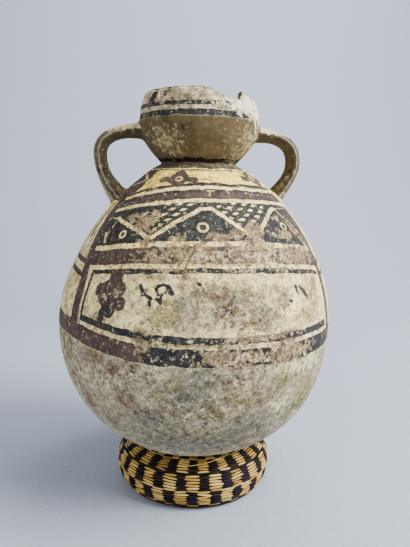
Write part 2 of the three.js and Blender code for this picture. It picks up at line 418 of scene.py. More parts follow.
def wearAndSettle():
    points = pointsOf(vase.data) / mm
    x, y, z = points.T
    direction = np.degrees(np.arctan2(x, -y))
    fade = np.clip(1 - (lipTop - z) / wear["reach"], 0, 1) * (np.hypot(x, y) < 47)
    z = z - fade * lipLoss(direction)
    angle = np.radians(direction)
    lumps = np.sin(2 * angle + 0.6 + z / 61) + 0.6 * np.sin(3 * angle - z / 37) + 0.5 * np.sin(5 * angle + z / 23)
    free = smoothStep(70, 110, z) * (1 - smoothStep(250, 290, z) * 0.5)
    grow = 1 + wear["lumps"] * lumps * free / 200
    x = x * grow + wear["bellyShift"] * smoothStep(62, 120, z) * (1 - smoothStep(232, 262, z))
    y = y * grow
    wall, strap = (np.interp(z, *zip(*wear[key])) for key in ("leftIn", "strapIn"))
    r = np.hypot(x, y)
    leftIn = np.where(z > 230, wall + (strap - wall) * smoothStep(60, 66, r), wall)
    rightIn = wear["rightIn"] * smoothStep(70, 110, z) * (1 - smoothStep(215, 235, z))
    x = x + leftIn * np.clip(-x / r.clip(1), 0, 1) - rightIn * np.clip(x / r.clip(1), 0, 1)
    moved = np.column_stack([x, y, z]) * mm
    movePoints(vase.data, moved)
    return moved / mm


settled = wearAndSettle()


# Where the decoration lies. Directions are degrees from the middle of a panel, heights and sizes are mm.
# The front and the back panel share one scheme; the worn places and the drawn figures of the front are its own.
design = {
    "droop": 7.0,              # how far the panel's lines sink at 55 degrees from its middle
    "bandRise": [(-180, 0), (-130, 3), (-100, 7), (-79, 9.3), (-63, 8.8), (-52, 6), (-38, 3), (-25, 0.8),
                 (-6, 0), (23, -0.8), (55, -0.6), (90, 1.5), (140, 1), (180, 0)],
    "stripeAt": [(140, 59.4), (162, 58.9), (175, 59.4), (188, 61.8), (208, 64.4), (219, 66.4), (232, 67.2)],
    "stripeRight": 59.4,
    "stripeHalf": 4.7,
    "panelEdge": 55.0,
    "zigzag": [(-54.2, 217.4), (-51.2, 215.6), (-37, 210.4), (-31.2, 206.4), (-28, 206.6), (-19, 216), (-6.8, 225),
               (-0.5, 225.3), (6.3, 219.2), (13, 212.4), (18.5, 206.8), (22.4, 211.4), (29.5, 218),
               (37.5, 224.6), (41, 225.4)],
    "backZigzag": [(-52, 219), (-41, 224.5), (-30, 216), (-20, 207), (-10, 216), (0, 225.4), (10, 216),
                   (20, 207), (30, 216), (41, 224.5), (52, 219)],
    "latticeAt": (15.7, 225.57),
    "latticeDown": (-3.6, -3.05),
    "latticeAcross": (6.3, -0.6),
    # direction round the jar, height, radius, half width of the line
    "ringlets": [(-45.1, 207.3, 2.5, 0.75), (-5.1, 213.5, 3.1, 0.8), (41.5, 213.6, 2.6, 0.7),
                 (180, 213, 3.0, 0.75), (-136, 212, 2.8, 0.75), (138, 212, 2.8, 0.75),
                 (-24.7, 245.3, 2.3, 0.6), (51, 247.2, 2.1, 0.55), (119, 246, 2.2, 0.6), (-169, 246, 2.2, 0.6)],
    "shoulderRosettes": [(-24.8, 245.2), (52, 247), (119, 246), (-169, 246)],
    # lobes of the field rosettes: right, up, radius, all from its middle
    "fieldLobes": [(0.5, 1, 9.8), (-8, 2.6, 5), (2.4, 11.5, 5.2), (4.4, 16, 4.2), (10.5, -4, 4.4), (8, 5, 5),
                   (2.2, -9, 5.2),
                   (-3.4, -12, 3.1), (-3.8, -15.5, 2.9), (-4.1, -18.6, 2.9)],
    "fieldRosettes": [(-41.7, 168.8), (139, 169), (-139, 169)],
}
# drawn lines: points, half width. Light ones are reserved in the dark, dark ones are brushed on.
lightStrokes = [
    ([(-53.9, 218.3), (-54.6, 213), (-55.8, 207.6), (-55.6, 200.8)], 0.6),
    ([(-57.9, 206.6), (-56.6, 204), (-55.1, 200.6)], 1.15),
    ([(42.5, 225.2), (46, 219.5), (50.7, 213.6), (57.9, 197.8)], 0.5),
    ([(40.5, 222.6), (44.6, 217.2), (48.8, 211), (55.4, 197.8)], 0.45),
    ([(-0.4, 237.6), (-0.8, 233.2)], 0.55),
    ([(-2.6, 236.8), (0.2, 237.6), (2.2, 237.2)], 0.6),
    ([(10.2, 238.4), (12.6, 236.4), (12.2, 233.4), (10, 231.9)], 0.4),
    ([(-49, 301), (-50, 307)], 0.7),
]
darkStrokes = [
    ([(-76, 226), (-75, 220), (-74.7, 211.3), (-75.2, 203.3)], 1.1),
    ([(-81, 188.6), (-72, 187.6), (-63, 186.3)], 1.35),
    ([(-80, 180.9), (-71, 179.6), (-63, 178)], 1.35),
    ([(-53.9, 181), (-54.0, 172.6), (-54.4, 159.3), (-54.3, 151)], 0.85),
    ([(77, 226), (73.4, 222.7), (72.2, 212), (72.2, 203.4)], 1.0),
    ([(78, 190.6), (69, 188.6), (62, 186.2)], 1.45),
    ([(80, 182.6), (71, 180.6), (62.6, 178)], 1.45),
]
frontFigures = [
    ([(-28.6, 177.4), (-28.3, 176), (-27.2, 173.2), (-27.6, 171.3)], 0.85),
    ([(-22.6, 175.1), (-21.8, 177.6), (-19.6, 178.4), (-17.4, 177), (-16.3, 172.8)], 0.62),
    ([(-22.6, 175.3), (-21.4, 172.3), (-20.3, 171.4), (-19.2, 174.3), (-17.8, 175.4), (-16.9, 172.6)], 0.55),
    ([(-21.6, 169.8), (-20.7, 168.8), (-20.5, 167.3)], 0.95),
    ([(-26.0, 171.5), (-23.6, 169.6)], 0.6),
    ([(-24.6, 167.4), (-24.1, 165.4)], 0.7),
    ([(33.6, 175.4), (33.9, 171.8), (34.7, 169.8)], 0.9),
    ([(36.0, 174.6), (38, 172.6), (39.2, 170.6), (40.2, 165.8)], 0.6),
    ([(36.4, 172.8), (37.9, 170.6), (39.2, 167.4)], 0.5),
    ([(29.2, 166.6), (30.2, 165.8)], 0.8),
    ([(2.5, 163.6), (4.0, 162.9)], 0.8),
    ([(-7.5, 179.6), (-6.4, 179.2)], 0.7),
    ([(-61.7, 300.8), (-58.6, 303.6), (-56, 306)], 1.5),
    ([(-57, 298.4), (-54.6, 303), (-53.4, 306.4)], 1.3),
    ([(-43.4, 303), (-42, 305.4), (-38.6, 307)], 1.2),
    ([(-22.8, 280.8), (-22.2, 280.2)], 0.75),
    ([(30.2, 262.4), (30.9, 262.2)], 0.7),
    ([(-30, 122.6), (-29.3, 122.1)], 0.8),
]
# rubbed or broken places on the front: direction, height, half width, half height, strength
rubbed = [
    (-34, 216, 12, 8, 1), (-42, 219, 7, 4.5, 0.7), (-30.3, 222.4, 6, 3, 0.7), (-31, 203.6, 5, 4.5, 0.9),
    (-16.2, 206.9, 6, 3.4, 0.9), (1.5, 207.4, 9, 3.6, 0.9), (10.5, 209.4, 8, 4.5, 0.9),
    (19.5, 211.5, 9, 7.5, 1), (17.5, 204, 10, 7, 1), (38, 208.9, 12, 4.4, 0.9), (37.6, 219.6, 4, 3.2, 0.8),
    (50, 212, 6, 8, 0.5), (-27, 195.7, 8, 6, 0.8), (-10, 196.6, 24, 8.2, 1), (14, 197, 36, 8.2, 1),
    (40, 195.5, 26, 7.6, 0.95), (-36, 192.4, 5, 3.0, 0.6), (-26.5, 141, 5.2, 10, 0.9),
    (5, 133.4, 24, 8.4, 1), (28, 132.4, 25, 8.2, 0.95), (-16, 187.2, 24, 2.4, 0.65),
    (8, 187.2, 18, 2.2, 0.6), (30, 187, 24, 2.4, 0.6),
    (-20, 144.9, 8, 2, 0.4), (13, 145.4, 34, 2.6, 0.9), (-50, 141, 4, 4, 0.5), (-47, 168, 4, 7, 0.3),
    (-40, 169, 8, 6, 0.3), (16, 297.2, 14, 3, 0.7), (38, 297.2, 14, 4, 1), (56, 291, 12, 9, 0.8),
    (-42, 301, 6, 8, 0.4), (24, 138, 6, 4, 0.7),
]
# stains and scuffs that only tint the surface, and crust, in the same five numbers
weathering = {"scuffed": [
    (-2, 174, 9, 6, 0.9), (4, 164, 9, 5, 0.8), (11, 157, 10, 6, 0.9), (26, 168, 6, 7, 0.9),
    (23, 175, 5, 5, 0.7),
    (-12, 184, 4, 5, 0.9), (-13, 177, 3, 3, 0.6), (27, 144, 13, 5, 1), (-27, 148, 5, 4, 0.9),
    (-25, 183, 12, 3, 0.6), (49, 177, 5, 8, 0.6), (17, 157, 9, 8, 0.6), (-47, 127, 15, 6, 0.8),
    (-38, 122, 8, 6, 0.9), (-34, 100, 8, 11, 0.8), (-56, 88, 8, 16, 0.6), (-45, 79, 12, 13, 0.5),
    (-20, 96, 5, 4, 1), (8, 118, 17, 9, 0.6), (-38, 178, 4, 5, 0.7), (-43, 154, 9, 3, 0.7),
    (-7, 143, 25, 3, 0.8),
    (7, 135, 23, 4, 0.9), (-23, 142, 7, 3, 0.7), (-1, 195, 33, 4, 0.8), (-36, 190, 9, 5, 0.6),
    (-34, 204, 6, 5, 0.6),
    (0, 236, 16, 4, 0.6), (140, 120, 24, 14, 0.8), (-150, 160, 18, 20, 0.7), (175, 195, 30, 6, 0.8),
    (110, 90, 20, 14, 0.7), (-110, 110, 16, 20, 0.7), (160, 168, 16, 10, 0.7),
], "olive": [
    (-19, 160, 12, 6, 1), (-16, 167, 9, 5, 0.8), (8, 172, 24, 12, 0.8), (44, 166, 12, 18, 0.75),
    (-21, 154, 8, 4, 0.7), (-9, 173, 6, 9, 0.7), (38, 156, 12, 6, 0.9),
    (24, 157, 7, 5, 0.6), (27, 116, 15, 8, 1), (22, 104, 11, 6, 0.8), (-2, 99, 9, 7, 0.8),
    (7, 104, 11, 5, 0.9),
    (-21, 108, 7, 5, 0.8), (-5, 71, 44, 22, 0.5), (-15, 117, 10, 10, 0.6), (42, 92, 16, 22, 0.85),
    (170, 120, 24, 20, 0.8), (-130, 100, 20, 20, 0.8), (130, 160, 14, 12, 0.8), (-165, 75, 44, 18, 0.8),
], "greyed": [
    (4, 165, 24, 15, 0.85), (-10, 163, 14, 17, 0.75), (16, 160, 18, 12, 0.7), (-10, 66, 60, 16, 0.7),
    (-13, 153, 6, 4, 0.9), (-2, 155, 9, 4, 0.6), (-5, 120, 14, 10, 0.8), (-25, 88, 20, 13, 0.7),
    (15, 82, 18, 11, 0.8), (-10, 106, 17, 11, 0.8), (7, 142, 13, 3, 0.5), (2, 117, 8, 6, 0.8),
    (-170, 150, 20, 12, 0.8), (120, 120, 20, 16, 0.8), (-100, 80, 20, 16, 0.7),
], "flecked": [
    (8, 118, 18, 10, 1), (4, 196, 60, 9, 1), (10, 134, 50, 9, 0.9), (-36, 114, 10, 9, 1),
    (7, 161, 34, 16, 0.8), (-42, 170, 12, 9, 0.7),
    (-20, 142, 26, 5, 0.5), (-9, 98, 26, 12, 0.6), (-24, 169, 20, 10, 0.5), (20, 304, 60, 5, 0.7),
    (150, 130, 30, 24, 0.9), (-140, 120, 30, 24, 0.8), (180, 170, 30, 12, 0.8),
], "paled": [
    (27, 95, 9, 5, 1), (43, 77, 6, 6, 0.9), (-20, 123, 8, 5, 0.5), (34, 124, 24, 8, 0.9),
    (40, 134, 12, 5, 0.7),
    (15, 183, 10, 6, 0.8), (-35, 179, 7, 5, 0.8), (-28, 167, 10, 6, 0.6), (-76, 94, 10, 22, 0.8),
    (8, 112, 7, 4, 0.7),
    (-44, 272, 13, 10, 0.3), (56, 272, 16, 16, 0.3), (-150, 140, 12, 8, 0.8),
], "crust": [(42, 298.5, 17, 7.5, 1), (25, 296, 7, 4, 0.75), (62, 295, 12, 12, 0.9), (70, 284, 6, 6, 0.4),
             (33, 305, 8, 4, 0.7)]}


def turned(angle):
    return (angle + 180) % 360 - 180


# every point of the finished clay in terms of the design
surfaceRound = np.degrees(np.arctan2(settled[:, 0], -settled[:, 1]))
surfaceRadius = np.hypot(settled[:, 0], settled[:, 1])
onFront = np.abs(surfaceRound) < 90
across = np.where(onFront, surfaceRound, turned(surfaceRound - 180))   # from the middle of its own panel
climb = np.concatenate([[0], np.cumsum(np.hypot(*np.diff(outerOutline, axis=0).T))])


def climbAt(height):
    # mm up the wall from the foot
    return np.interp(height, outerOutline[:, 1], climb)


def radiusAt(height):
    return np.interp(height, outerOutline[:, 1], outerOutline[:, 0])


surfaceClimb = climbAt(settled[:, 2])


def flatAt(angle, height, reach=45):
    # mm round and up the surface from a place on it; what lies further off than the reach counts as far away
    a = math.radians(angle)
    outward = np.array([math.sin(a), -math.cos(a)])
    here, below = (np.array([*(radiusAt(z) * outward), z]) for z in (height, height - 1))
    away = settled - here
    far = (np.linalg.norm(away, axis=1) > reach) * 1e3
    up = (here - below) / np.linalg.norm(here - below)
    return away @ np.array([math.cos(a), math.sin(a), 0]) + far, away @ up


def strokes(drawn, angle):
    # distance to drawn lines, negative on them
    result = np.full(len(settled), 30.0)
    for line, half in drawn:
        for (a0, z0), (a1, z1) in zip(line, line[1:]):
            perDegree = math.radians(1) * radiusAt((z0 + z1) / 2)
            u, v = turned(angle - a0) * perDegree, surfaceClimb - climbAt(z0)
            du, dv = (a1 - a0) * perDegree, climbAt(z1) - climbAt(z0)
            t = np.clip((u * du + v * dv) / (du * du + dv * dv), 0, 1)
            result = np.minimum(result, np.hypot(u - t * du, v - t * dv) - half)
    return result


def patches(listed):
    # 1 in the middle of a patch, 0 at its edge, down to -1 away from all of them
    result = np.full(len(settled), -1.0)
    for angle, height, halfWide, halfHigh, strength in listed:
        u, v = flatAt(angle, height, 60)
        reach = np.hypot(u / halfWide, v / halfHigh)
        result = np.maximum(result, strength * np.clip(1 - reach, -1, 1) - (1 - strength) * 0.35)
    return result


def crossShape(u, v):
    # a square body with four thick knobbed arms, negative inside
    body = np.maximum(np.abs(u), np.abs(v)) * 0.7 + np.hypot(u, v) * 0.3 - 6.6
    for du, dv, reach, thin, knob in ((1, 0, 10.8, 2.9, 3.7), (0, 1, 7.6, 3.2, 3.8)):
        along, off = np.abs(u * du + v * dv), np.abs(u * dv + v * du)
        arm = np.hypot(np.maximum(along - reach, 0), off) - thin
        body = np.minimum(body, np.minimum(arm, np.hypot(along - reach, off) - knob))
    return body


def zigzagField(line):
    # signed distance to a line, positive above it
    angles, heights = zip(*line)
    above = surfaceClimb > climbAt(np.interp(across, angles, heights))
    return np.where(above, 1, -1) * strokes([(line, 0)], across)


def layOutDesign():
    z = settled[:, 2]
    perDegree = np.radians(1) * surfaceRadius
    panelDroop = design["droop"] * (across / 55) ** 2 * smoothStep(150, 185, z) * (1 - smoothStep(243, 252, z))
    panelDroop = panelDroop * np.where(onFront & (across > 0), 1 - 0.72 * smoothStep(206, 230, z), 1)
    rise = np.interp(surfaceRound, *zip(*design["bandRise"])) * (1 - smoothStep(150, 172, z))
    level = z + panelDroop - rise
    stripeAt = np.where(surfaceRound < 0, np.interp(z, *zip(*design["stripeAt"])), design["stripeRight"])
    stripe = (np.abs(across) - stripeAt) * perDegree
    zig = np.where(onFront, zigzagField(design["zigzag"]), zigzagField(design["backZigzag"]))

    down, over = design["latticeDown"], design["latticeAcross"]
    a, h = across - design["latticeAt"][0], level - design["latticeAt"][1]
    whole = down[0] * over[1] - down[1] * over[0]
    latticeOn = np.where(onFront, ((across > 2) & (across < 33)) | ((across > -27) & (across < -11)),
                         np.abs(across) < 40)

    brown, blackEnds = np.full(len(z), 30.0), np.full(len(z), 30.0)
    for place in design["shoulderRosettes"]:
        brown = np.minimum(brown, crossShape(*flatAt(*place)))
    for place in design["fieldRosettes"]:
        u, v = flatAt(*place)
        for k, (right, up, radius) in enumerate(design["fieldLobes"]):
            lobe = np.hypot(u - right, v - up) - radius
            brown = np.minimum(brown, lobe)
            if k > 5:
                blackEnds = np.minimum(blackEnds, lobe)
    besideRoot = (np.abs(turned(surfaceRound + 92)) - 36) * perDegree   # dark slip runs round the left root
    sleeve = np.maximum(besideRoot, np.maximum(229 - z, z - 258))
    brown = np.minimum(brown, sleeve)

    purple = smoothStep(232, 233.4, level) * (1 - smoothStep(235.8, 237, level))
    lowPurple = np.where(surfaceRound < -20, 1 - smoothStep(-31, -22, surfaceRound),
                         0.45 * smoothStep(60, 90, np.abs(surfaceRound)))
    purple = np.maximum(purple, lowPurple * smoothStep(120, 124, level) * (1 - smoothStep(139.5, 141.5, level)))
    purple = np.maximum(purple, 0.85 * smoothStep(188, 191, level) * (1 - smoothStep(202, 204, level)))
    purple = np.maximum(purple, smoothStep(7, 5, np.abs(stripe)) * (z > 125))
    purple = np.maximum(purple, 1 - smoothStep(0, 2, brown))
    purple = purple * (1 - 0.9 * smoothStep(1, -1, blackEnds))
    handleTop = settled[offJar > 5, 2].max()
    worn = smoothStep(handleTop - 9, handleTop - 2, z) * smoothStep(-1, 2, strapOut) * (offJar > 0.7)
    fillet = smoothStep(-2.5, -4.2, strapOut) * smoothStep(234, 226, z) * (settled[:, 0] < -60)
    fields = {
        "level": level,
        "panel": (design["panelEdge"] - np.abs(across)) * perDegree,
        "stripe": stripe,
        "zigzag": zig,
        "latticeU": (a * over[1] - h * over[0]) / whole,
        "latticeV": (down[0] * h - down[1] * a) / whole + 0.4 * (across < -5),
        "latticeOn": smoothStep(1.5, 3.0, zig) * latticeOn,
        "light": strokes(lightStrokes, surfaceRound),
        "dark": np.minimum(strokes(darkStrokes, surfaceRound), strokes(frontFigures, surfaceRound)) - 0.45,
        "brown": brown,
        "rubbed": np.where(onFront, patches(rubbed), -0.55),
        "purple": purple,
        "offJar": offJar,
        "strapOut": np.clip(strapOut, -8, 8),
        "fillet": fillet,
        "worn": worn,
    }
    for name, listed in weathering.items():
        fields[name] = patches(listed)
    for name, values in fields.items():
        addField(vase.data, name, values)


layOutDesign()
print("decoration laid out")


# the woven ring that the round jar stands in, mm
ring = {
    "outerRadius": 62.6,
    "tubeWidth": 36,
    "height": 35,
    "soleWidth": 18,
    "fullAbove": 2.1,
    "fullBelow": 2.5,
    "coreUnder": 0.75,         # how far the dark foundation lies under the CAD section
    "coreColumns": 88,
    "firstStitch": 6.2,        # mm round the section from the edge of the sole
    "pitch": 2.1,              # from strip to strip
    "columns": 44,             # blocks round the ring
    "rows": 38,                # strips from foot to foot over the top
    "rowsInBlock": 6,
    "rowsBefore": 5,           # rows of the lowest block that the foot hides
    "stitchThick": 0.72,       # half thicknesses and lengths
    "stitchWide": 1.0,
    "stitchLong": 5.0,
    "stitchSides": 8,
    "stitchRings": 5,
    "unevenness": 0.36,
    "strawLonger": 1.1,        # straw strips against the common length, and dyed ones
    "dyedLonger": 0.92,
    "footStrand": (56.4, 1.9, 0.8),   # radius of its circle, height, half thickness
    "looseStrand": [(-16.5, 40.5, 0.3), (-12.5, 39.0, 1.2), (-5.5, 39.6, 1.7), (3, 40.8, 1.9), (13, 43.0, 1.5),
                    (22, 44.8, 1.0), (27, 46.4, 0.2)],   # direction, mm round the section, mm above it
    "looseEnd": [(63, 36.5, 0.3), (66.5, 34.5, 1.4), (70, 32.8, 2.6), (73, 31.5, 3.4)],
    "looseThick": 0.3,
}


def ringSection(steps):
    a = np.radians(np.linspace(-60, 240, steps))
    c, s = np.cos(a), np.sin(a)
    power = 2 / np.where(s < 0, ring["fullBelow"], ring["fullAbove"])
    middle = ring["outerRadius"] - ring["tubeWidth"] / 2
    reach = np.sign(c) * np.abs(c) ** power * ring["tubeWidth"] / 2
    up = np.sign(s) * np.abs(s) ** power * ring["height"] / 2
    points = np.column_stack([middle + reach, ring["height"] / 2 + up])
    points[0] = middle + ring["soleWidth"] / 2, 0
    points[-1] = middle - ring["soleWidth"] / 2, 0
    return points


def outwardOf(points):
    along = np.gradient(points, axis=0)
    along /= np.hypot(*along.T)[:, None]
    return np.column_stack([along[:, 1], -along[:, 0]])


fineSection = ringSection(721)
fineOutward = outwardOf(fineSection)
fineReached = np.concatenate([[0], np.cumsum(np.hypot(*np.diff(fineSection, axis=0).T))])


def onSection(s):
    # the place at s mm round the section, and the direction straight out of it
    return [[np.interp(s, fineReached, line[:, k]) for k in (0, 1)] for line in (fineSection, fineOutward)]


def makeRingCore():
    section = ringSection(61)
    lift = smoothStep(0, 4, section[:, 1])[:, None]
    section = section - outwardOf(section) * ring["coreUnder"] * lift
    return spunFromOutline("ring_foundation", np.vstack([section, section[:1]]), ring["coreColumns"], closed=True)


def makeStitch(name):
    # one lens-shaped strip, lying along X with its back up
    pickOnly()
    bpy.ops.mesh.primitive_uv_sphere_add(segments=ring["stitchSides"], ring_count=ring["stitchRings"],
                                         radius=mm, rotation=(0, math.pi / 2, 0))
    stitch = bpy.context.object
    stitch.name = name
    bpy.ops.object.transform_apply(location=True, rotation=True, scale=True)
    bpy.ops.object.mode_set(mode="EDIT")
    bpy.ops.mesh.select_all(action="SELECT")
    bpy.ops.transform.resize(value=(ring["stitchLong"], ring["stitchWide"], ring["stitchThick"]))
    bpy.ops.object.mode_set(mode="OBJECT")
    return stitch


def copyAt(thing, matrix):
    twin = thing.copy()
    twin.data = thing.data.copy()
    bpy.context.scene.collection.objects.link(twin)
    twin.data.transform(matrix)
    return twin


def joinAll(name, things):
    pickOnly(*things)
    bpy.ops.object.join()
    bpy.context.object.name = name
    return bpy.context.object


def makeStitches(stitch):
    turn = 2 * math.pi / ring["columns"]
    straw, dyed = [], []
    for odd in (0, 1):
        sets = {True: [], False: []}
        for row in range(ring["rows"]):
            at, up = onSection(ring["firstStitch"] + (row + 0.25 + 0.5 * odd) * ring["pitch"])
            shrink = at[0] / ring["outerRadius"]
            place = Matrix(((0, -up[1], up[0], at[0] * mm), (1, 0, 0, 0), (0, up[0], up[1], at[1] * mm),
                            (0, 0, 0, 1)))
            place = place @ Matrix.Diagonal((shrink, 1, 1, 1))
            block = (row + ring["rowsBefore"]) // ring["rowsInBlock"]
            sets[(block + odd) % 2 == 0].append(copyAt(stitch, place))
        for isStraw, made in sets.items():
            column = joinAll("column", made)
            for k in range(odd, ring["columns"], 2):
                (straw if isStraw else dyed).append(copyAt(column, Matrix.Rotation(turn * k, 4, "Z")))
            bpy.data.objects.remove(column)
    return joinAll("ring_straw", straw), joinAll("ring_dyed_strips", dyed)


def unevenStitches(thing, form, seed, longer):
    # each strip is shifted, turned and thinned a little, as hand work is
    random = np.random.default_rng(seed)
    blocks = pointsOf(thing.data).reshape(-1, len(form), 3)
    middle = blocks.mean(axis=1, keepdims=True)
    radius = np.hypot(middle[..., 0], middle[..., 1])
    around = np.stack([-middle[..., 1] / radius, middle[..., 0] / radius, np.zeros_like(radius)], -1)
    count = len(blocks)
    local = blocks - middle
    longways = (local * around).sum(-1, keepdims=True)
    stretch = longer * random.normal(1, 0.09, (count, 1, 1))
    shift = random.normal(0, ring["unevenness"] * mm, (count, 1, 1))
    lift = random.normal(0, 0.07, (count, 1, 1)) * longways
    blocks = middle + (local - around * longways) * random.uniform(0.8, 1.06, (count, 1, 1)) \
        + around * (longways * stretch + shift)
    blocks[..., 2:] += lift
    movePoints(thing.data, blocks.reshape(-1, 3))
    addField(thing.data, "tone", np.repeat(random.uniform(0, 1, count), len(form)))
    addField(thing.data, "along", np.tile(form[:, 0] / np.abs(form[:, 0]).max(), count))
    addField(thing.data, "sideways", np.tile(form[:, 1] / np.abs(form[:, 1]).max(), count))
    pickOnly(thing)
    bpy.ops.object.shade_smooth()


def makeFootStrand():
    # the brown strand that binds the foot
    radius, height, half = ring["footStrand"]
    pickOnly()
    bpy.ops.mesh.primitive_torus_add(major_segments=176, minor_segments=8, major_radius=radius * mm,
                                     minor_radius=half * mm, location=(0, 0, height * mm))
    strand = bpy.context.object
    strand.name = "ring_foot_strand"
    bpy.ops.object.transform_apply(location=True)
    points = pointsOf(strand.data)
    angle = np.arctan2(points[:, 1], points[:, 0])
    points[:, 2] += 0.25 * mm * np.sin(7 * angle) * np.sin(17 * angle + 1)
    movePoints(strand.data, points)
    bpy.ops.object.shade_smooth()
    return strand


def makeLooseStrand(name, route):
    # a straw that has come out of the weave, a tapered tube along its route
    knots = np.array(route, float)
    places = []
    for t in np.linspace(0, len(knots) - 1, 6 * len(knots)):
        angle, s, above = (np.interp(t, range(len(knots)), knots[:, j]) for j in range(3))
        at, up = onSection(s)
        r, z = (at[0] + up[0] * above) * mm, (at[1] + up[1] * above) * mm
        a = math.radians(angle)
        places.append((r * math.sin(a), -r * math.cos(a), z))
    radii = [0.55 + 0.45 * math.sin(math.pi * k / (len(places) - 1)) for k in range(len(places))]
    strand = tubeAlong(name, places, radii, bevel_depth=ring["looseThick"] * mm, bevel_resolution=1)
    mergeAndFaceOut(1e-6)
    bpy.ops.object.shade_smooth()
    return strand


core = makeRingCore()
stitch = makeStitch("stitch")
stitchForm = pointsOf(stitch.data)
straw, dyed = makeStitches(stitch)
bpy.data.objects.remove(stitch)
unevenStitches(straw, stitchForm, 3, ring["strawLonger"])
unevenStitches(dyed, stitchForm, 4, ring["dyedLonger"])
footStrand = makeFootStrand()
looseStrand = joinAll("ring_loose_straw", [makeLooseStrand("end", ring["looseEnd"]),
                                           makeLooseStrand("strand", ring["looseStrand"])])
for thing, tone in ((footStrand, 0.1), (looseStrand, 0.95)):
    for name, value in (("tone", tone), ("along", 0), ("sideways", 0)):
        addField(thing.data, name, np.full(len(thing.data.vertices), value))
print("ring woven:", len(straw.data.polygons) + len(dyed.data.polygons), "faces")


def linear(hexColour):
    def channel(c):
        return c / 12.92 if c <= 0.04045 else ((c + 0.055) / 1.055) ** 2.4
    return tuple(channel(int(hexColour[k:k + 2], 16) / 255) for k in (1, 3, 5)) + (1,)


def newMaterial(name, *things):
    material = bpy.data.materials.new(name)
    material.use_nodes = True
    material.node_tree.nodes.clear()
    for thing in things:
        thing.data.materials.clear()
        thing.data.materials.append(material)
    tree = material.node_tree

    def addNode(kind, links=(), **settings):
        # links: a row, or socket name or number -> value; a value is a node, one of its outputs or plain
        node = tree.nodes.new("ShaderNode" + kind)
        for key, value in settings.items():
            setattr(node, key, value)
        for key, value in links.items() if isinstance(links, dict) else enumerate(links):
            if isinstance(value, bpy.types.Node):
                value = next(out for out in value.outputs if out.enabled)
            if isinstance(value, bpy.types.NodeSocket):
                tree.links.new(value, node.inputs[key])
            else:
                node.inputs[key].default_value = value
        return node

    return addNode


# painted levels: mm of the design's own height
paintedFrom, paintedTo = 136.0, 243.0   # where the side stripes run
figuresFrom, figuresTo = 203.5, 230.0   # where the light figures stand
fieldTop, rubbedTop = 190.0, 250.0
lowBandTop, neckBandFoot = 140.0, 247.0
clay = {
    "slipCream": "#f6dc90", "slipPale": "#fbecb2", "slipGrey": "#cab986", "slipFresh": "#ffdc60",
    "bodyPale": "#cabd9c", "bodyGrey": "#8e8773", "bodyBrown": "#846f52",
    "cupBrown": "#64553a", "cupPale": "#706144", "cupDark": "#54462b",
    "lipPale": "#ead4a6", "lipGrey": "#bba988", "lipDark": "#84755a",
    # the cup's foot line is near-black: partly its own paint, partly painted shade in the crevice under the bowl
    "neck": "#524b3b", "footLineAndCreviceShade": "#20160b",
    "black": "#222222", "greyBlack": "#454543", "purple": "#5a4d44", "purpleDark": "#3c3534", "purpleRed": "#665046",
    "light": "#fbe193", "rubbedPink": "#836a52", "rubbedBrown": "#554434", "rubbedPale": "#b4a27a",
    "scuff": "#78624c", "olive": "#7c7444", "grey": "#6e6c5e", "pale": "#ecdda4",
    "crust": "#f2e8c4", "speck": "#1c150d", "fleck": "#f0e4b8", "fillet": "#d2b876",
    "roughClay": 0.88, "roughPaint": 0.72,
    # mm: what each noise draws
    "grains": {"brush": (9.0, 3, 0.5), "flake": (3.4, 4, 0.68), "grit": (1.5, 2, 0.62), "cloud": (24.0, 5, 0.6),
               "patch": (60.0, 3, 0.55), "pin": (2.2, 1, 0.4), "sand": (4.2, 4, 0.85)},
    # how far out from a handle's middle line each tone of it begins: the handle's own lengthwise stripes, with the
    # inner tones darkened as painted shade on its inner face
    "strap": [(-8, "#463c29"), (-4.4, "#564a32"), (-2.0, "#433925"), (0.5, "#4d4434"), (1.1, "#a89c80"),
              (1.8, "#625844"), (3.4, "#565044"), (4.4, "#857a62"), (5.3, "#a0967a")],
}
darkLevels = [(127.5, 139.2), (142.8, 147.0), (185.4, 188.6), (191.3, 202.0), (204.9, 228.8),
              (231.4, 237.9), (240.0, 242.4), (250.9, 251.8), (288.8, 292.8), (295.4, 298.8)]
lightLevels = [(188.6, 191.2), (202.0, 204.9), (228.8, 231.4), (237.9, 240.0), (251.8, 252.9)]
neckLevels = [(252.9, 259.4)]
# the dark line round the foot of the cup: partly its own paint, partly painted shade in the crevice where the bowl
# meets the neck
footLineAndShadeLevels = [(257.6, 260.6)]
rampFrom, rampTo = 110, 310


def fillRamp(ramp, spans):
    # white within the spans of height and black between them
    ramp.interpolation = "CONSTANT"
    while len(ramp.elements) > 1:
        ramp.elements.remove(ramp.elements[-1])
    ramp.elements[0].position = 0
    ramp.elements[0].color = (0, 0, 0, 1)
    for low, high in spans:
        for height, value in ((low, 1), (high, 0)):
            stop = ramp.elements.new((height - rampFrom) / (rampTo - rampFrom))
            stop.color = (value, value, value, 1)


